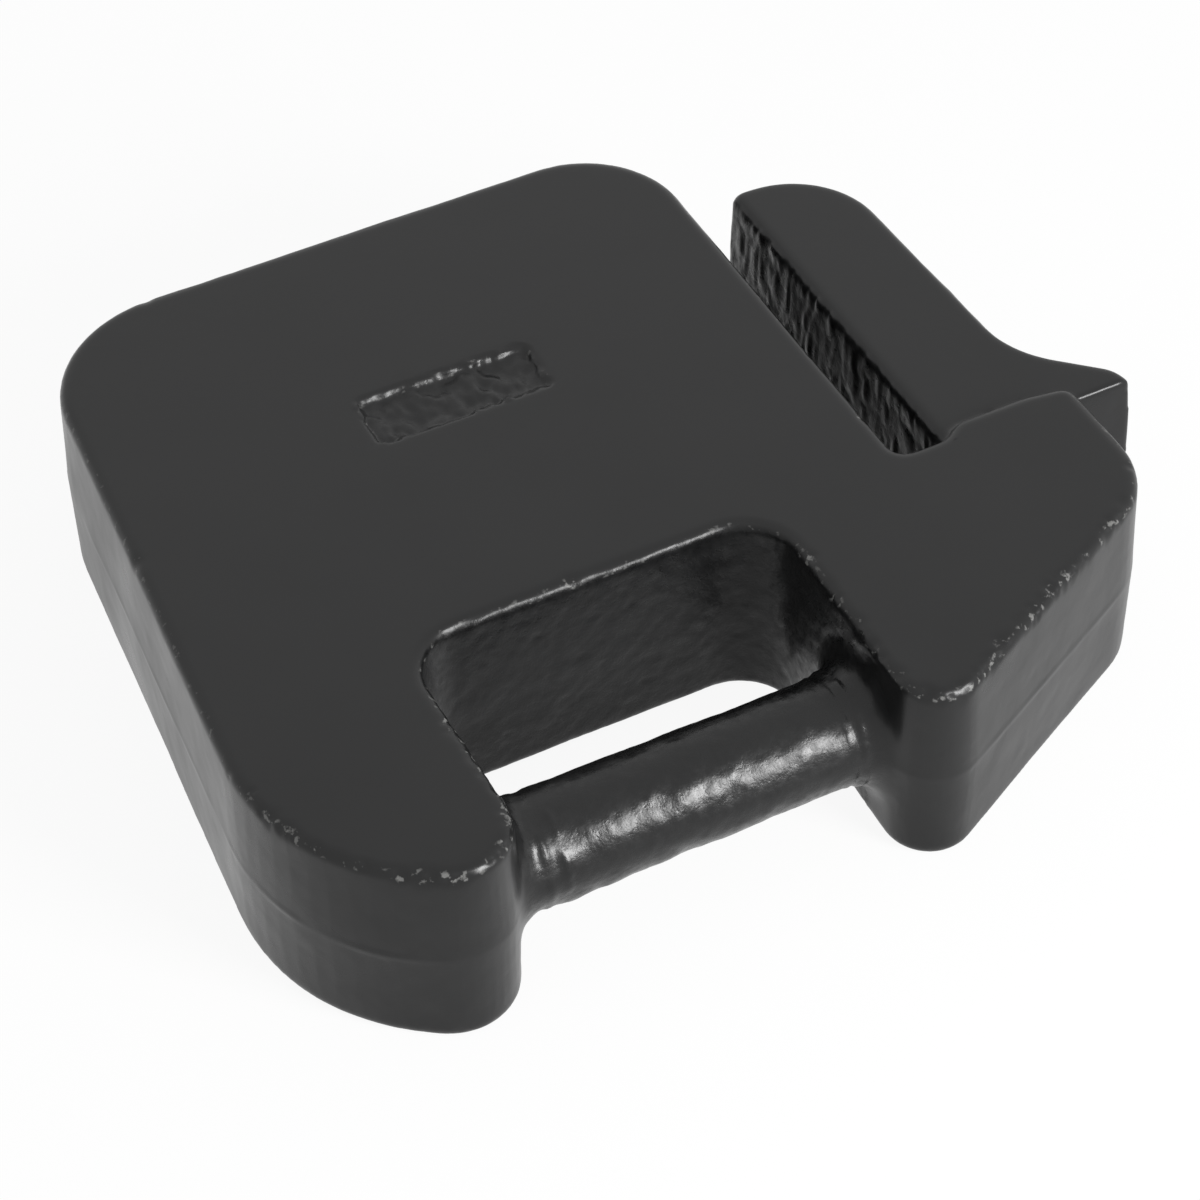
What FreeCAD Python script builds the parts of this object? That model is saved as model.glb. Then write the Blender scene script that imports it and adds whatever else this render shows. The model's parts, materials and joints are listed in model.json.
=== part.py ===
"""Tractor suitcase weight: one iron casting with a bar handle, a hook and a hanging slot.

The casting lies on its flat side. The drawing datum is the middle of the handle bar:
X runs along the bar towards the hook, Y runs from the bar towards the far edge, and
Z = 0 is the parting plane at half thickness. The finished body is then moved so that its
origin is the centre of its box, at the bottom.
"""
import FreeCAD, Part
import math
import os

import Sketcher

NODE = "weight_casting"
TOUCH = 0.001  # an edge this near a plane or a wall lies on it
LEAN = 3.0  # more than any wall leans in towards a face

# name, value (mm or degrees), what it sets
SIZES = [
    ("thickness", 61.0, "plate, face to face"),
    ("draft_angle", 1.5, "slope of every wall away from the parting plane"),
    ("edge_round", 3.0, "rounding of the outer edges of both faces"),
    # plate: the far side and the left side
    ("far_reach", 212.2, "bar axis to the far edge"),
    ("left_far_reach", 94.2, "bar middle to the left side at the far edge"),
    ("left_near_reach", 115.2, "bar middle to the left side at the near corner"),
    ("near_corner_rise", 0.8, "bar axis up to the near corner point of the left side"),
    ("far_left_round", 39.5, "far left corner"),
    ("far_right_round", 31.5, "far right corner, beside the slot"),
    ("near_left_round", 63.0, "near left corner"),
    # hand window and the two prongs that carry the bar
    ("window_width", 106.0, "hand window, prong to prong"),
    ("window_depth", 52.5, "bar axis to the far wall of the window"),
    ("window_round", 15.0, "far corners of the window"),
    ("prong_lean", 2.5, "how far the right prong wall leans in at its tip"),
    ("left_prong_reach", 42.5, "bar axis to the corner point of the left prong"),
    ("left_prong_round", 18.5, "tip of the left prong"),
    ("right_prong_reach", 38.2, "bar axis to the corner point of the right prong"),
    ("right_prong_round", 13.4, "tip of the right prong"),
    # nose below the slot
    ("nose_drop", 15.0, "bar axis up to the corner point of the nose"),
    ("nose_round", 26.0, "nose corner"),
    ("nose_reach", 151.2, "bar middle to the right side of the nose"),
    ("nose_top_round", 5.0, "corner of the raised plate above the nose"),
    # slot and hook
    ("slot_wall", 95.7, "bar middle to the plate wall of the slot"),
    ("slot_width", 13.8, "slot at the parting plane"),
    ("slot_floor", 56.8, "bar axis to the floor of the slot"),
    ("slot_round", 4.0, "inner corner of the slot"),
    ("hook_step", 4.0, "face of the hook below the face of the plate"),
    ("shoulder_rise", 4.4, "end of the raised plate beyond the slot floor"),
    ("shoulder_start", 6.0, "length of its rise beside the slot"),
    ("shoulder_slope", 14.0, "length of its fall at the nose"),
    ("shoulder_round", 8.0, "easing of its bends"),
    ("hook_root", 14.0, "hook inside the plate"),
    ("hook_reach", 179.6, "bar axis to the tip of the hook"),
    ("hook_tip_round", 4.5, "inner corner of the hook tip"),
    ("hook_crown_round", 28.0, "outer corner of the hook tip"),
    ("hook_crown_drop", 1.0, "fall of the hook tip towards its outer corner"),
    ("hook_width", 33.9, "hook near its tip"),
    ("hook_flare", 4.2, "extra width of the hook at its foot"),
    ("heel_reach", 169.8, "bar middle to the end of the heel"),
    ("heel_height", 55.0, "bar axis to the near wall of the heel"),
    ("heel_wall", 6.5, "end of the heel, from its near wall to its outer corner point"),
    ("heel_back", 21.0, "rise of the heel's back from that corner point to the hook"),
    ("heel_round", 11.0, "outer corner of the heel"),
    ("foot_round", 29.0, "hollow between the hook and the heel"),
    # handle bar
    ("bar_diameter", 30.2, "handle bar"),
    ("bar_root_round", 9.0, "rounding where the bar meets the prongs"),
    ("bar_sink", 12.0, "bar inside each prong"),
    # recessed pad on the face
    ("pad_length", 52.0, "recessed pad"),
    ("pad_width", 18.5, "recessed pad"),
    ("pad_depth", 2.0, "recessed pad"),
    ("pad_round", 3.0, "corners of the recessed pad"),
    ("pad_across", 0.3, "bar middle to the centre of the pad, along X"),
    ("pad_up", 134.5, "bar axis to the centre of the pad, along Y"),
]


def make_sheet(doc):
    sheet = doc.addObject("Spreadsheet::Sheet", "Sizes")
    for row, (name, value, note) in enumerate(SIZES, start=1):
        sheet.set("A%d" % row, name)
        sheet.set("B%d" % row, str(value))
        sheet.set("C%d" % row, note)
        sheet.setAlias("B%d" % row, name)
    doc.recompute()
    return sheet


def value_of(sheet, expression):
    """The number that an expression of sheet aliases gives."""
    return float(sheet.evalExpression(expression.replace("Sizes.", "")))


def origin_plane(body, role):
    return next(item for item in body.Origin.OriginFeatures if item.Role == role)


def new_sketch(body, name, role):
    sketch = body.newObject("Sketcher::SketchObject", name)
    sketch.AttachmentSupport = [(origin_plane(body, role), "")]
    sketch.MapMode = "FlatFace"
    return sketch


def unit(start, end):
    across, up = end[0] - start[0], end[1] - start[1]
    length = math.hypot(across, up)
    return across / length, up / length


def corner_arc(before, corner, after, radius):
    """Centre and touching points of the arc that rounds a corner, and whether it turns left."""
    back, ahead = unit(corner, before), unit(corner, after)
    turn = ahead[0] * back[1] - ahead[1] * back[0]
    half = math.acos(max(-1.0, min(1.0, back[0] * ahead[0] + back[1] * ahead[1]))) / 2
    setback = radius / math.tan(half)
    middle = unit((0, 0), (back[0] + ahead[0], back[1] + ahead[1]))
    reach = radius / math.sin(half)
    centre = (corner[0] + middle[0] * reach, corner[1] + middle[1] * reach)
    first = (corner[0] + back[0] * setback, corner[1] + back[1] * setback)
    last = (corner[0] + ahead[0] * setback, corner[1] + ahead[1] * setback)
    return centre, first, last, turn > 0


def point(pair):
    return FreeCAD.Vector(pair[0], pair[1], 0)


def bind(sketch, kind, items, expression, value):
    index = sketch.addConstraint(Sketcher.Constraint(kind, *items, value))
    sketch.setExpression("Constraints[%d]" % index, expression)


def draw_outline(sketch, sheet, corners):
    """Closed outline of straight sides with rounded corners, every size bound to the sheet.

    Each corner is (x, y, radius), as expressions of the sheet's names. A radius of None
    leaves the corner sharp.
    """
    places = [(value_of(sheet, x), value_of(sheet, y)) for x, y, _ in corners]
    count = len(corners)
    starts, ends, arcs = list(places), places[1:] + places[:1], {}
    for i, (_, _, radius) in enumerate(corners):
        if radius is None:
            continue
        before, after = places[i - 1], places[(i + 1) % count]
        centre, first, last, left = corner_arc(before, places[i], after, value_of(sheet, radius))
        arcs[i] = (centre, first, last, left)
        ends[i - 1], starts[i] = first, last
    sides = [sketch.addGeometry(Part.LineSegment(point(a), point(b)), False)
             for a, b in zip(starts, ends)]
    for i, (x, y, radius) in enumerate(corners):
        arriving, leaving = sides[i - 1], sides[i]
        if radius is None:
            sketch.addConstraint(Sketcher.Constraint("Coincident", arriving, 2, leaving, 1))
            anchor = (leaving, 1)
        else:
            anchor = (round_corner(sketch, arriving, leaving, places[i], arcs[i]), 1)
            bind(sketch, "Radius", (anchor[0] - 1,), radius, value_of(sheet, radius))
        bind(sketch, "DistanceX", (-1, 1) + anchor, x, places[i][0])
        bind(sketch, "DistanceY", (-1, 1) + anchor, y, places[i][1])


def round_corner(sketch, arriving, leaving, place, arc_data):
    """An arc tangent to two sides and, next after it, the point where the sides would meet."""
    centre, first, last, left = arc_data
    low, high = (first, last) if left else (last, first)
    circle = Part.Circle(point(centre), FreeCAD.Vector(0, 0, 1), math.dist(centre, first))
    angles = [math.atan2(p[1] - centre[1], p[0] - centre[0]) for p in (low, high)]
    arc = sketch.addGeometry(Part.ArcOfCircle(circle, *angles), False)
    corner = sketch.addGeometry(Part.Point(point(place)), True)
    start, end = (1, 2) if left else (2, 1)
    sketch.addConstraint(Sketcher.Constraint("Tangent", arriving, 2, arc, start))
    sketch.addConstraint(Sketcher.Constraint("Tangent", arc, end, leaving, 1))
    sketch.addConstraint(Sketcher.Constraint("PointOnObject", corner, 1, arriving))
    sketch.addConstraint(Sketcher.Constraint("PointOnObject", corner, 1, leaving))
    return corner


def plate_corners():
    """Plate outline at the parting plane, anticlockwise from the far left corner."""
    half_window = "Sizes.window_width / 2"
    return [
        ("-Sizes.left_far_reach", "Sizes.far_reach", "Sizes.far_left_round"),
        ("-Sizes.left_near_reach", "Sizes.near_corner_rise", "Sizes.near_left_round"),
        ("-" + half_window, "-Sizes.left_prong_reach", "Sizes.left_prong_round"),
        ("-" + half_window, "Sizes.window_depth", "Sizes.window_round"),
        (half_window, "Sizes.window_depth", "Sizes.window_round"),
        (half_window + " - Sizes.prong_lean", "-Sizes.right_prong_reach", "Sizes.right_prong_round"),
        ("Sizes.nose_reach", "Sizes.nose_drop", "Sizes.nose_round"),
        ("Sizes.nose_reach", "Sizes.slot_floor + Sizes.shoulder_rise / 2", "Sizes.nose_top_round"),
        ("Sizes.nose_reach - Sizes.shoulder_slope", "Sizes.slot_floor + Sizes.shoulder_rise",
         "Sizes.shoulder_round"),
        ("Sizes.slot_wall + Sizes.slot_width + Sizes.shoulder_start",
         "Sizes.slot_floor + Sizes.shoulder_rise", "Sizes.shoulder_round"),
        ("Sizes.slot_wall + Sizes.slot_width", "Sizes.slot_floor", "Sizes.shoulder_round"),
        ("Sizes.slot_wall", "Sizes.slot_floor", "Sizes.slot_round"),
        ("Sizes.slot_wall", "Sizes.far_reach", "Sizes.far_right_round"),
    ]


def hook_corners():
    """Hook outline at the parting plane, anticlockwise from its tip, ending inside the plate."""
    inner = "Sizes.slot_wall + Sizes.slot_width"
    outer = inner + " + Sizes.hook_width"
    root = "Sizes.slot_floor - Sizes.hook_root"
    return [
        (inner, "Sizes.hook_reach", "Sizes.hook_tip_round"),
        (inner, root, None),
        ("Sizes.nose_reach - Sizes.hook_root", root, None),
        ("Sizes.nose_reach - Sizes.hook_root", "Sizes.heel_height", None),
        ("Sizes.heel_reach", "Sizes.heel_height", None),
        ("Sizes.heel_reach", "Sizes.heel_height + Sizes.heel_wall", "Sizes.heel_round"),
        (outer + " + Sizes.hook_flare", "Sizes.heel_height + Sizes.heel_wall + Sizes.heel_back",
         "Sizes.foot_round"),
        (outer, "Sizes.hook_reach - Sizes.hook_crown_drop", "Sizes.hook_crown_round"),
    ]


def drafted_pad(body, sketch, name, above, below):
    """Pad both ways from the parting plane, its walls leaning in towards both faces."""
    pad = body.newObject("PartDesign::Pad", name)
    pad.Profile = sketch
    pad.SideType = "Two sides"
    pad.Type = pad.Type2 = "Length"
    pad.setExpression("Length", above)
    pad.setExpression("Length2", below)
    pad.setExpression("TaperAngle", "-Sizes.draft_angle")
    pad.setExpression("TaperAngle2", "-Sizes.draft_angle")
    sketch.Visibility = False
    return pad


def add_bar(body, sheet):
    """Round handle bar across the hand window, its ends sunk in the prongs."""
    section = new_sketch(body, "BarSection", "YZ_Plane")
    radius = value_of(sheet, "Sizes.bar_diameter") / 2
    circle = Part.Circle(FreeCAD.Vector(0, 0, 0), FreeCAD.Vector(0, 0, 1), radius)
    ring = section.addGeometry(circle, False)
    section.addConstraint(Sketcher.Constraint("Coincident", ring, 3, -1, 1))
    bind(section, "Diameter", (ring,), "Sizes.bar_diameter", 2 * radius)
    bar = body.newObject("PartDesign::Pad", "Bar")
    bar.Profile = section
    bar.SideType = "Symmetric"
    bar.setExpression("Length", "Sizes.window_width + 2 * Sizes.bar_sink")
    section.Visibility = False
    return bar


def points_along(edge, count=5):
    step = (edge.LastParameter - edge.FirstParameter) / (count - 1)
    return [edge.valueAt(edge.FirstParameter + i * step) for i in range(count)]


def edges_where(feature, test):
    """Names of the edges whose points all pass the test."""
    return ["Edge%d" % number for number, edge in enumerate(feature.Shape.Edges, start=1)
            if all(test(p) for p in points_along(edge))]


def add_round(body, base, name, size, test):
    """Fillet on the edges of the base feature that pass the test."""
    fillet = body.newObject("PartDesign::Fillet", name)
    fillet.Base = (base, edges_where(base, test))
    fillet.setExpression("Radius", size)
    body.Document.recompute()
    return fillet


def add_rounds(body, sheet, base):
    """Cast rounding: first where the bar meets the prongs, then around both faces.

    The window's rim on the back stays sharp, as its core left it.
    """
    top = value_of(sheet, "Sizes.thickness") / 2
    bar_radius = value_of(sheet, "Sizes.bar_diameter") / 2
    ledge = top - value_of(sheet, "Sizes.hook_step")
    window_side = value_of(sheet, "Sizes.window_width") / 2
    window_end = value_of(sheet, "Sizes.window_depth")
    plate_end = value_of(sheet, "Sizes.slot_wall + Sizes.slot_width")
    plate_line = value_of(sheet, "Sizes.slot_floor + Sizes.shoulder_rise")
    plate_side = value_of(sheet, "Sizes.nose_reach")

    def on_bar_root(p):
        return math.isclose(math.hypot(p.y, p.z), bar_radius, abs_tol=TOUCH)

    def on_ledge_rim(p):
        beside_plate = plate_end - LEAN < p.x < plate_side and p.y < plate_line
        return math.isclose(p.z, ledge, abs_tol=TOUCH) and not beside_plate

    def on_back_rim(p):
        in_window = abs(p.x) < window_side + LEAN and -bar_radius < p.y < window_end + LEAN
        return math.isclose(p.z, -top, abs_tol=TOUCH) and not in_window

    roots = add_round(body, base, "BarRoots", "Sizes.bar_root_round", on_bar_root)
    face = add_round(body, roots, "FaceRound", "Sizes.edge_round",
                     lambda p: math.isclose(p.z, top, abs_tol=TOUCH))
    back = add_round(body, face, "BackRound", "Sizes.edge_round", on_back_rim)
    return add_round(body, back, "LedgeRound", "Sizes.edge_round", on_ledge_rim)


def add_pad_recess(body, sheet):
    """Shallow rectangular recess with a bare floor, cast into the face of the plate."""
    outline = new_sketch(body, "RecessOutline", "XY_Plane")
    outline.setExpression("AttachmentOffset.Base.z", "Sizes.thickness / 2")
    left, right = ("Sizes.pad_across %s Sizes.pad_length / 2" % sign for sign in "-+")
    low, high = ("Sizes.pad_up %s Sizes.pad_width / 2" % sign for sign in "-+")
    places = [(left, low), (right, low), (right, high), (left, high)]
    draw_outline(outline, sheet, [(x, y, "Sizes.pad_round") for x, y in places])
    body.Document.recompute()
    recess = body.newObject("PartDesign::Pocket", "PadRecess")
    recess.Profile = outline
    recess.Type = "Length"
    recess.setExpression("Length", "Sizes.pad_depth")
    outline.Visibility = False
    body.Document.recompute()
    return recess


def build_casting(doc, sheet):
    body = doc.addObject("PartDesign::Body", "WeightCasting")
    body.Label = NODE
    half = "Sizes.thickness / 2"
    plate_outline = new_sketch(body, "PlateOutline", "XY_Plane")
    draw_outline(plate_outline, sheet, plate_corners())
    drafted_pad(body, plate_outline, "Plate", half, half)
    hook_outline = new_sketch(body, "HookOutline", "XY_Plane")
    draw_outline(hook_outline, sheet, hook_corners())
    drafted_pad(body, hook_outline, "Hook", half + " - Sizes.hook_step", half)
    bar = add_bar(body, sheet)
    doc.recompute()
    ledge_round = add_rounds(body, sheet, bar)
    recess = add_pad_recess(body, sheet)
    if not recess.Shape.Volume < ledge_round.Shape.Volume:
        raise RuntimeError("the pad recess cuts nothing")
    return body


def stand_on_base(doc, body):
    """Move the body so that the origin is the centre of its box, at the bottom."""
    box = body.Shape.optimalBoundingBox(False)
    body.Placement.Base = FreeCAD.Vector(-box.Center.x, -box.Center.y, -box.ZMin)
    doc.recompute()


def check(doc, body):
    for item in doc.Objects:
        if {"Invalid", "Error"} & set(item.State):
            raise RuntimeError("%s failed: %s" % (item.Name, item.State))
    shape = body.Shape
    if shape.isNull() or not shape.isValid() or len(shape.Solids) != 1:
        raise RuntimeError("%s is not one valid solid" % body.Label)


def main():
    doc = FreeCAD.newDocument("SuitcaseWeight")
    sheet = make_sheet(doc)
    body = build_casting(doc, sheet)
    stand_on_base(doc, body)
    check(doc, body)
    os.makedirs("parts", exist_ok=True)
    body.Shape.exportStep("parts/%s.step" % body.Label)
    box = body.Shape.optimalBoundingBox(False)
    print("box %.2f x %.2f x %.2f mm" % (box.XLength, box.YLength, box.ZLength))
    print("volume %.0f mm3, datum at %s" % (body.Shape.Volume, body.Placement.Base))


main()
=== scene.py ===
"""Looks of the tractor suitcase weight: cast skin, edge wear, black paint, light and camera."""

import json
import math
from collections import namedtuple

import bpy
import numpy as np
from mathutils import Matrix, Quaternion, Vector


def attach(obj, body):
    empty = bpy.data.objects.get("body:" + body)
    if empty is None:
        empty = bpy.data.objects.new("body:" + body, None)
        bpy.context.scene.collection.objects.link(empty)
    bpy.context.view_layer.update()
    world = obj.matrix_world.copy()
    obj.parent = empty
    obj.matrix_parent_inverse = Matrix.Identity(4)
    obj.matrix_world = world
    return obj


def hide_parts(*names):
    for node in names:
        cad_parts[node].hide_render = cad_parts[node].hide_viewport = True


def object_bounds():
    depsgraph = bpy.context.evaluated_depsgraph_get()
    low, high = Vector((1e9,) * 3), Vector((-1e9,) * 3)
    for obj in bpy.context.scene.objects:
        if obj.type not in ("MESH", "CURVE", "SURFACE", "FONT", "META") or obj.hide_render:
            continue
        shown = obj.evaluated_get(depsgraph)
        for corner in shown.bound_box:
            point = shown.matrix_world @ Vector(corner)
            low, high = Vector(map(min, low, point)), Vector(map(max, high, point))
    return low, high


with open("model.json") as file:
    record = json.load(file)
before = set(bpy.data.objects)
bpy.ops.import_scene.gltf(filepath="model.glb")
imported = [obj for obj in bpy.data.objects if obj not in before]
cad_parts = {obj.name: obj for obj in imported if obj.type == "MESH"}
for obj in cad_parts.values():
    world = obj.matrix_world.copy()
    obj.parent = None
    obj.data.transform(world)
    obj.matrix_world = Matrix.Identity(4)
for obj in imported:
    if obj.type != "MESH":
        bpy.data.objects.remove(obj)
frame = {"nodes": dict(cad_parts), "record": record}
cad_low, cad_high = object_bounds()
record = frame["record"]
mounts = {mount["name"]: mount for mount in record["mounts"]}

NODE = "weight_casting"
MM = 0.001
openings = {opening["name"]: np.array(opening["box_m"]) / MM
            for opening in record["physics"]["openings"]}

# Places on the casting are in millimetres from the middle of the handle bar.
GRIP = np.array(mounts["hand_grip"]["pos_m"]) / MM
HALF_THICK = (cad_high.z - cad_low.z) / 2 / MM
SLOT_LOW, SLOT_HIGH = (corner - GRIP for corner in openings["bracket_slot_gap"])
WINDOW_LOW, WINDOW_HIGH = (corner - GRIP for corner in openings["hand_window"])

# Sizes of the casting, in millimetres, as its CAD source has them.
EDGE_ROUND = 3.0
BAR_RADIUS = 15.1
BAR_HALF_SPAN = 53.0
PAD_MIDDLE = (0.3, 134.5)
PAD_HALF_SIZE = (26.0, 9.25)
PAD_DEPTH = 2.0

# The remeshed skin.
VOXEL = 0.9  # mm
WELD_GAP = 1e-6  # m
SMOOTH_SHARE = 0.5
SMOOTH_ROUNDS = 3
FACES_KEPT = 188000

# Noise layers of the relief: feature size and height in millimetres.
Grain = namedtuple("Grain", "size seed octaves height")
BROAD_WAVE = Grain(38, 11, 2, 0.22)
FINE_SKIN = Grain(7, 23, 3, 0.05)
FACE_WAVE = Grain(26, 31, 2, 0.03)
BAR_HAMMERED = Grain(6.5, 41, 3, 0.20)
BAR_WAVE = Grain(15, 47, 2, 0.12)
RING_BREAKS = Grain(5, 59, 1, 0.75)
SLOT_WRINKLE = Grain((30, 3.4, 13), 61, 2, 0.55)
WINDOW_SCABS = Grain(4, 71, 3, 0.12)
WINDOW_PITS = Grain(3.2, 73, 1, 0.5)
PAD_BROKEN = Grain((3.2, 5, 4), 79, 2, 0.75)
SEAM_BREAKS = Grain(12, 83, 1, 0.5)
OCTAVE_FALL = 1.8

FACE_CALM = 0.92  # share of the relief that the flat face loses
RING_BASE = 0.55
SLOT_SINK = 0.15
PIT_FROM = 0.62  # noise above this makes a pit
SEAM_HEIGHT = 0.22
SEAM_WIDTH = 0.9

# Lumps and ring marks on the handle bar.
Lump = namedtuple("Lump", "x y z reach height")
BAR_LUMPS = [Lump(-38, -11, -10, 6, 0.9), Lump(-27, -12, -9, 5, 0.7), Lump(-14, -10, -11, 6, 0.4),
             Lump(30, -9, 12, 6, 0.3), Lump(8, -11, -10, 7, 0.3)]
Ring = namedtuple("Ring", "x width height")
BAR_RINGS = [Ring(45.5, 1.1, 0.9), Ring(42.0, 0.9, 0.45), Ring(-46.0, 1.2, 0.6), Ring(-41.0, 0.9, 0.5)]

# Nicks in the rounded rim.
NICK_COUNT = 150
NICK_SEED = 5
NICK_REACH = (0.8, 2.4)
NICK_DEPTH = (0.15, 0.6)
NICK_NEAR_Y = 60  # the chance falls with y, and is full 120 mm nearer than this
NICK_FALL = 120
NICK_LEAST = 0.08

# Paint.
PAINT_DARK = (0.0040, 0.0041, 0.0043, 1)
PAINT_LIGHT = (0.0080, 0.0081, 0.0082, 1)
WORN_EDGE = (0.16, 0.16, 0.155, 1)
WORN_MOST = 0.75
PAINT_IOR = 1.40
# Specular level in the open, and in the painted shade of the window and the lower outer walls
SPECULAR_OPEN = 0.5
SPECULAR_PAINTED_SHADE = 0.3
BROAD_SCALE = 22
FINE_SCALE = 420
GRIT_SCALE = 1500
BUMP_DISTANCE = 0.0004

# Stage and light.
FLOOR_SIZE = 12
FLOOR_GAP = 0.0002
FLOOR_GREY = (0.82, 0.82, 0.82, 1)
FLOOR_GLOW_SHARE = 0.92
WHITE = (1, 1, 1, 1)
WORLD_HALF_LIGHT = 0.6
KEY_TURN = 27  # degrees from the near side towards the right
KEY_LIFT = 24
KEY_DISTANCE = 1.4
KEY_SIZE = (0.5, 0.6)
KEY_POWER = 26

# Camera.
CAMERA_TURN = -26.67
CAMERA_LIFT = 44.78
CAMERA_ROLL = 1.05
CAMERA_DISTANCE = 1.1191
CAMERA_AIM = Vector((-0.0162, -0.0194, 0.030))
CAMERA_LENS = 124.35
CAMERA_SENSOR = 36
CAMERA_CLIP = (0.05, 30)


# ---------------------------------------------------------------- noise

def lattice_value(cells, seed):
    """Repeatable numbers from -1 to 1 for whole-number lattice points."""
    mixed = (cells[..., 0] * 73856093) ^ (cells[..., 1] * 19349663) ^ (cells[..., 2] * 83492791)
    mixed = (mixed ^ (seed * 2654435761)) & 0x7FFFFFFF
    mixed = (mixed ^ (mixed >> 13)) * 1274126177 & 0x7FFFFFFF
    mixed = (mixed ^ (mixed >> 16)) & 0xFFFF
    return mixed / 32767.5 - 1.0


def smooth_noise(points, size, seed):
    """Value noise with features of about the given size in millimetres."""
    scaled = points / size
    base = np.floor(scaled).astype(np.int64)
    part = scaled - base
    blend = part * part * part * (part * (part * 6 - 15) + 10)
    total = np.zeros(len(points))
    for corner in np.ndindex(2, 2, 2):
        share = np.prod(np.where(corner, blend, 1 - blend), axis=1)
        total += share * lattice_value(base + np.array(corner), seed)
    return total


def noise_of(points, grain):
    """Sum of the grain's octaves. Each is half the size of the one before, and weaker."""
    size = np.asarray(grain.size, float)
    return sum(smooth_noise(points, size / 2 ** i, grain.seed + i) / OCTAVE_FALL ** i
               for i in range(grain.octaves))


def band(values, low, high, soft):
    """1 between low and high, falling to 0 over the soft margin outside them."""
    rise = np.clip((values - low) / soft + 1, 0, 1)
    fall = np.clip((high - values) / soft + 1, 0, 1)
    return rise * fall


def hill(distance, reach):
    return np.exp(-(distance / reach) ** 2)


# ---------------------------------------------------------------- mesh

def linked_object(name, mesh):
    thing = bpy.data.objects.new(name, mesh)
    bpy.context.scene.collection.objects.link(thing)
    return thing


def baked(source):
    """The object's mesh with its modifiers applied. The object itself is removed."""
    bpy.context.view_layer.update()
    graph = bpy.context.evaluated_depsgraph_get()
    mesh = bpy.data.meshes.new_from_object(source.evaluated_get(graph))
    bpy.data.objects.remove(source)
    return mesh


def skin_mesh(node):
    """Even, smoothed skin over a copy of the CAD node's mesh."""
    source = linked_object("skin_source", frame["nodes"][node].data.copy())
    weld = source.modifiers.new("weld", "WELD")
    weld.merge_threshold = WELD_GAP
    remesh = source.modifiers.new("remesh", "REMESH")
    remesh.mode = "VOXEL"
    remesh.voxel_size = VOXEL * MM
    smooth = source.modifiers.new("smooth", "SMOOTH")
    smooth.factor = SMOOTH_SHARE
    smooth.iterations = SMOOTH_ROUNDS
    return baked(source)


def thinned(mesh):
    """The mesh with about FACES_KEPT triangles. It comes from quads, so it has two for each face."""
    dense = linked_object("dense_skin", mesh)
    thin = dense.modifiers.new("thin", "DECIMATE")
    thin.ratio = min(1.0, FACES_KEPT / (2 * len(mesh.polygons)))
    return baked(dense)


def read_mesh(mesh):
    """Places from the middle of the bar, in millimetres, and normals."""
    places = np.empty(len(mesh.vertices) * 3, np.float32)
    normals = np.empty(len(mesh.vertices) * 3, np.float32)
    mesh.vertices.foreach_get("co", places)
    mesh.vertices.foreach_get("normal", normals)
    return places.reshape(-1, 3).astype(float) / MM - GRIP, normals.reshape(-1, 3).astype(float)


def write_places(mesh, places):
    mesh.vertices.foreach_set("co", ((places + GRIP) * MM).astype(np.float32).ravel())
    mesh.update()


def set_attribute(mesh, name, values):
    layer = mesh.attributes.new(name, "FLOAT", "POINT")
    layer.data.foreach_set("value", np.clip(values, 0, 1).astype(np.float32))


class Zones:
    """Soft weights, one for each vertex, for the parts of the surface."""

    def __init__(self, places, normals):
        x, y, z = places.T
        nx, _, nz = normals.T
        pad_x, pad_y = PAD_MIDDLE
        pad_wide, pad_deep = PAD_HALF_SIZE
        self.bar = (band(np.hypot(y, z), 0, BAR_RADIUS + 1.5, 2.5)
                    * band(x, -BAR_HALF_SPAN, BAR_HALF_SPAN, 1))
        self.face = band(nz, 0.9, 1, 0.15) * (1 - self.bar)
        self.wall = band(np.abs(nz), 0, 0.5, 0.3) * (1 - self.bar)
        self.rim = band(nz, 0.25, 0.9, 0.08) * band(z, HALF_THICK - 1.2 * EDGE_ROUND, HALF_THICK, 1)
        self.slot_wall = (band(nx, -1, -0.8, 0.2) * band(x, SLOT_HIGH[0], SLOT_HIGH[0] + 5, 1)
                          * band(y, SLOT_LOW[1] - 4, SLOT_HIGH[1], 2))
        self.window = (self.wall * band(x, WINDOW_LOW[0] - 12, WINDOW_HIGH[0] + 10, 2)
                       * band(y, -5, WINDOW_HIGH[1] + 6, 3))
        self.pad = (band(x, pad_x - pad_wide, pad_x + pad_wide, 1)
                    * band(y, pad_y - pad_deep, pad_y + pad_deep, 1)
                    * band(z, HALF_THICK - 2.5 * PAD_DEPTH, HALF_THICK - 0.3, 0.3))
        self.outer = self.wall * (1 - self.slot_wall) * (1 - self.window)
        self.rough = self.bar + self.window + self.slot_wall + self.pad
        # Painted shade: the window, and the outer walls more towards the bottom, which the material
        # makes mirror less
        self.painted_shade = self.window + 0.5 * self.outer * np.clip(-z / HALF_THICK, 0, 1)


def plain_relief(places, zones):
    """Waves and fine skin. The flat face keeps little of them, and has a faint wave of its own."""
    calm = 1 - FACE_CALM * zones.face
    return (BROAD_WAVE.height * calm * noise_of(places, BROAD_WAVE)
            + FINE_SKIN.height * calm * noise_of(places, FINE_SKIN)
            + FACE_WAVE.height * zones.face * noise_of(places, FACE_WAVE))


def bar_relief(places):
    """Hammered skin, a few lumps, and broken ring marks near the ends of the bar."""
    relief = (BAR_HAMMERED.height * noise_of(places, BAR_HAMMERED)
              + BAR_WAVE.height * noise_of(places, BAR_WAVE))
    for lump in BAR_LUMPS:
        away = np.linalg.norm(places - np.array([lump.x, lump.y, lump.z]), axis=1)
        relief += lump.height * hill(away, lump.reach)
    broken = RING_BASE + RING_BREAKS.height * noise_of(places, RING_BREAKS)
    for ring in BAR_RINGS:
        relief += ring.height * broken * hill(places[:, 0] - ring.x, ring.width)
    return relief


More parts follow.
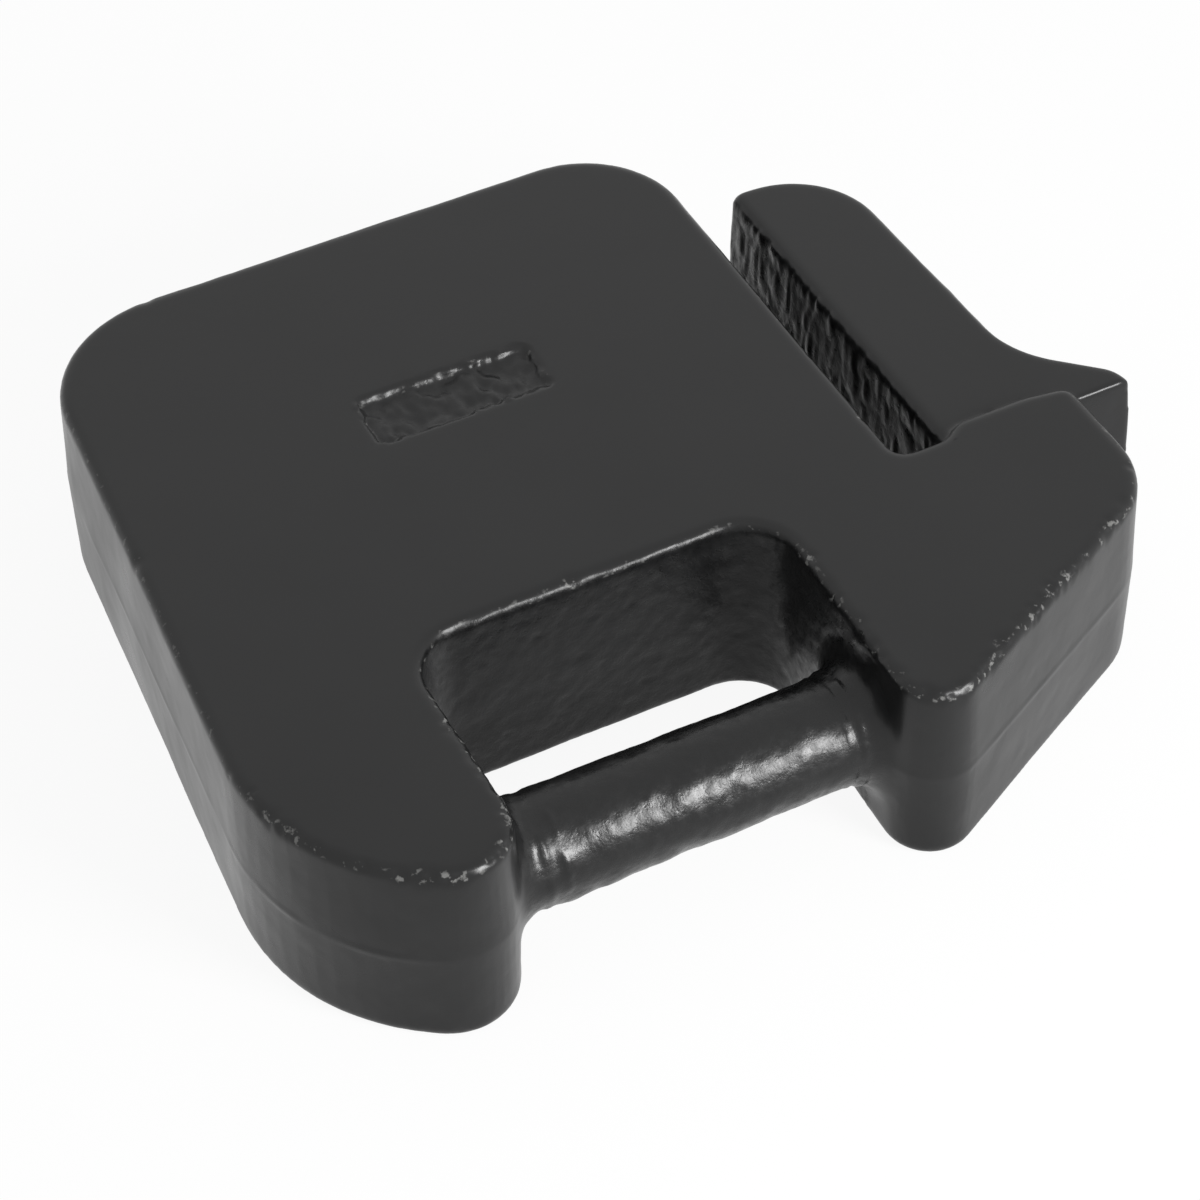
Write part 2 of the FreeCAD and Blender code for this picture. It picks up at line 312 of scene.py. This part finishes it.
def slot_relief(places):
    """Skin wrinkled across the slot side of the hook."""
    return SLOT_WRINKLE.height * np.abs(noise_of(places, SLOT_WRINKLE)) - SLOT_SINK


def window_relief(places):
    """Small scabs and pits."""
    pits = np.clip(noise_of(places, WINDOW_PITS) - PIT_FROM, 0, 1)
    return WINDOW_SCABS.height * noise_of(places, WINDOW_SCABS) - WINDOW_PITS.height * pits


def pad_relief(places):
    """Broken, rough floor of the recessed pad."""
    return PAD_BROKEN.height * noise_of(places, PAD_BROKEN)


def seam_relief(places):
    """Thin, broken ridge of the parting line at half thickness."""
    broken = 0.5 + SEAM_BREAKS.height * noise_of(places, SEAM_BREAKS)
    return SEAM_HEIGHT * broken * hill(places[:, 2], SEAM_WIDTH)


def cast_relief(places, zones):
    """Height of the as-cast skin over the plain form, in millimetres."""
    return (plain_relief(places, zones) + zones.bar * bar_relief(places)
            + zones.slot_wall * slot_relief(places) + zones.window * window_relief(places)
            + zones.pad * pad_relief(places) + zones.outer * seam_relief(places))


def rim_nicks(places, zones):
    """Depth of small dents in the rounded edge of the face. Most are along the near side."""
    rng = np.random.default_rng(NICK_SEED)
    near = np.clip((NICK_NEAR_Y - places[:, 1]) / NICK_FALL, NICK_LEAST, 1)
    chance = zones.rim * near ** 2
    chosen = rng.choice(len(places), NICK_COUNT, replace=False, p=chance / chance.sum())
    reaches = rng.uniform(*NICK_REACH, NICK_COUNT)
    cuts = rng.uniform(*NICK_DEPTH, NICK_COUNT)
    depth = np.zeros(len(places))
    for centre, reach, cut in zip(places[chosen], reaches, cuts):
        close = np.abs(places - centre).max(axis=1) < 3 * reach
        away = np.linalg.norm(places[close] - centre, axis=1)
        depth[close] = np.maximum(depth[close], cut * hill(away, reach))
    return depth


def make_casting():
    mesh = skin_mesh(NODE)
    places, normals = read_mesh(mesh)
    zones = Zones(places, normals)
    nicks = rim_nicks(places, zones)
    write_places(mesh, places + normals * (cast_relief(places, zones) - nicks)[:, None])
    set_attribute(mesh, "rough_skin", zones.rough)
    set_attribute(mesh, "bar_skin", zones.bar)
    set_attribute(mesh, "edge_wear", zones.rim * 0.5 + nicks * 2)
    set_attribute(mesh, "face_skin", zones.face)
    set_attribute(mesh, "painted_shade", zones.painted_shade)
    casting = linked_object("casting_skin", thinned(mesh))
    casting.data.polygons.foreach_set("use_smooth", [True] * len(casting.data.polygons))
    return casting


# ---------------------------------------------------------------- material

class Nodes:
    """Short calls for a node tree."""

    def __init__(self, tree):
        self.tree = tree
        tree.nodes.clear()

    def add(self, kind, **settings):
        node = self.tree.nodes.new(kind)
        for key, value in settings.items():
            setattr(node, key, value)
        return node

    def feed(self, value, socket):
        """Links an output to the socket, or sets a plain value on it."""
        if isinstance(value, bpy.types.NodeSocket):
            self.tree.links.new(value, socket)
        else:
            socket.default_value = value

    def noise(self, place, scale, detail):
        node = self.add("ShaderNodeTexNoise")
        self.feed(place, node.inputs["Vector"])
        self.feed(scale, node.inputs["Scale"])
        self.feed(detail, node.inputs["Detail"])
        self.feed(0.55, node.inputs["Roughness"])
        return node.outputs["Fac"]

    def ramp(self, value, low, high, to_low=0.0, to_high=1.0):
        node = self.add("ShaderNodeMapRange", clamp=True)
        self.feed(value, node.inputs["Value"])
        for name, number in (("From Min", low), ("From Max", high),
                             ("To Min", to_low), ("To Max", to_high)):
            self.feed(number, node.inputs[name])
        return node.outputs["Result"]

    def math(self, kind, first, second):
        node = self.add("ShaderNodeMath", operation=kind)
        self.feed(first, node.inputs[0])
        self.feed(second, node.inputs[1])
        return node.outputs[0]

    def mix(self, share, first, second):
        node = self.add("ShaderNodeMix", data_type="RGBA")
        self.feed(share, node.inputs["Factor"])
        self.feed(first, node.inputs[6])
        self.feed(second, node.inputs[7])
        return node.outputs[2]

    def attribute(self, name):
        return self.add("ShaderNodeAttribute", attribute_name=name).outputs["Fac"]

    def surface(self, shader):
        output_kind = "ShaderNodeOutputMaterial"
        self.feed(shader.outputs[0], self.add(output_kind).inputs["Surface"])


def paint_colour(make, broad, fine):
    """Uneven black, with grey where the rim is worn."""
    paint = make.mix(broad, PAINT_DARK, PAINT_LIGHT)
    chipped = make.math("MULTIPLY", make.attribute("edge_wear"), make.ramp(fine, 0.52, 0.66))
    return make.mix(make.ramp(chipped, 0.25, 0.75, 0, WORN_MOST), paint, WORN_EDGE)


def paint_roughness(make, broad, fine, rough_skin):
    """Satin paint: uneven on the rough skin, glossier on the bar, duller on the flat face."""
    roughness = make.ramp(broad, 0.3, 0.7, 0.25, 0.36)
    uneven = make.math("MULTIPLY", rough_skin, make.ramp(fine, 0.3, 0.75, -0.06, 0.16))
    roughness = make.math("ADD", roughness, uneven)
    glossier = make.math("MULTIPLY", make.attribute("bar_skin"), 0.05)
    roughness = make.math("SUBTRACT", roughness, glossier)
    duller = make.math("MULTIPLY", make.attribute("face_skin"), 0.04)
    return make.math("ADD", roughness, duller)


def paint_bump(make, fine, grit, rough_skin):
    height = make.math("ADD", make.math("MULTIPLY", fine, 0.7), make.math("MULTIPLY", grit, 0.3))
    strength = make.math("ADD", make.math("MULTIPLY", rough_skin, 0.35), 0.06)
    bump = make.add("ShaderNodeBump")
    make.feed(BUMP_DISTANCE, bump.inputs["Distance"])
    make.feed(strength, bump.inputs["Strength"])
    make.feed(height, bump.inputs["Height"])
    return bump.outputs["Normal"]


def paint_material():
    """Black paint over cast iron. Painted shade: the window and the lower outer walls get a lower
    specular level, so they mirror less of the surroundings.
    """
    material = bpy.data.materials.new("black_paint_cast_iron")
    material.use_nodes = True
    make = Nodes(material.node_tree)
    place = make.add("ShaderNodeTexCoord").outputs["Object"]
    broad = make.noise(place, BROAD_SCALE, 3)
    fine = make.noise(place, FINE_SCALE, 4)
    grit = make.noise(place, GRIT_SCALE, 2)
    rough_skin = make.attribute("rough_skin")
    # painted shade: less mirroring in the window and low on the outer walls
    specular = make.ramp(make.attribute("painted_shade"), 0, 1, SPECULAR_OPEN, SPECULAR_PAINTED_SHADE)
    shader = make.add("ShaderNodeBsdfPrincipled")
    make.feed(paint_colour(make, broad, fine), shader.inputs["Base Color"])
    make.feed(paint_roughness(make, broad, fine, rough_skin), shader.inputs["Roughness"])
    make.feed(PAINT_IOR, shader.inputs["IOR"])
    make.feed(specular, shader.inputs["Specular IOR Level"])
    make.feed(paint_bump(make, fine, grit, rough_skin), shader.inputs["Normal"])
    make.surface(shader)
    return material


# ---------------------------------------------------------------- stage, light, camera

def seen_directly(make):
    """1 for camera, glossy and transmission rays."""
    path = make.add("ShaderNodeLightPath")
    camera_or_gloss = make.math("MAXIMUM", path.outputs["Is Camera Ray"], path.outputs["Is Glossy Ray"])
    return make.math("MAXIMUM", camera_or_gloss, path.outputs["Is Transmission Ray"])


def make_floor():
    """Pale floor that is mostly plain white where it is seen, and keeps a faint shadow."""
    bpy.ops.mesh.primitive_plane_add(size=FLOOR_SIZE, location=(0, 0, cad_low.z - FLOOR_GAP))
    floor = bpy.context.object
    floor.name = "studio_floor"
    material = bpy.data.materials.new("studio_floor_white")
    material.use_nodes = True
    make = Nodes(material.node_tree)
    matte = make.add("ShaderNodeBsdfDiffuse")
    make.feed(FLOOR_GREY, matte.inputs["Color"])
    glow = make.add("ShaderNodeEmission")
    make.feed(WHITE, glow.inputs["Color"])
    blend = make.add("ShaderNodeMixShader")
    make.feed(make.math("MULTIPLY", seen_directly(make), FLOOR_GLOW_SHARE), blend.inputs[0])
    make.feed(matte.outputs[0], blend.inputs[1])
    make.feed(glow.outputs[0], blend.inputs[2])
    make.surface(blend)
    floor.data.materials.append(material)


def make_world():
    """White surroundings where they are seen or mirrored, and an even half-light elsewhere."""
    world = bpy.data.worlds.new("studio")
    bpy.context.scene.world = world
    world.use_nodes = True
    make = Nodes(world.node_tree)
    light = make.add("ShaderNodeBackground")
    make.feed(WHITE, light.inputs["Color"])
    make.feed(make.ramp(seen_directly(make), 0, 1, WORLD_HALF_LIGHT, 1.0), light.inputs["Strength"])
    make.feed(light.outputs[0], make.add("ShaderNodeOutputWorld").inputs["Surface"])


def direction(turn, lift):
    """Unit vector. The turn is from the near side towards the right, the lift up from the floor."""
    turn, lift = math.radians(turn), math.radians(lift)
    return Vector((math.sin(turn) * math.cos(lift), -math.cos(turn) * math.cos(lift), math.sin(lift)))


def make_key_light():
    """Broad softbox in front. It puts the bright band on the handle bar."""
    data = bpy.data.lights.new("key", "AREA")
    data.shape = "RECTANGLE"
    data.size, data.size_y = KEY_SIZE
    data.energy = KEY_POWER
    away = direction(KEY_TURN, KEY_LIFT)
    lamp = linked_object("key", data)
    lamp.location = away * KEY_DISTANCE
    lamp.rotation_mode = "QUATERNION"
    lamp.rotation_quaternion = away.to_track_quat("Z", "Y")


def make_camera():
    data = bpy.data.cameras.new("camera")
    data.lens = CAMERA_LENS
    data.sensor_width = CAMERA_SENSOR
    data.clip_start, data.clip_end = CAMERA_CLIP
    camera = linked_object("camera", data)
    away = direction(CAMERA_TURN, CAMERA_LIFT)
    camera.location = CAMERA_AIM + away * CAMERA_DISTANCE
    camera.rotation_mode = "QUATERNION"
    roll = Quaternion((0, 0, 1), -math.radians(CAMERA_ROLL))
    camera.rotation_quaternion = (-away).to_track_quat("-Z", "Y") @ roll
    bpy.context.scene.camera = camera


def main():
    casting = make_casting()
    casting.data.materials.clear()
    casting.data.materials.append(paint_material())
    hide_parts(NODE)
    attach(casting, "root")
    make_floor()
    make_world()
    make_key_light()
    make_camera()
    bpy.context.scene.view_settings.view_transform = "Standard"


main()
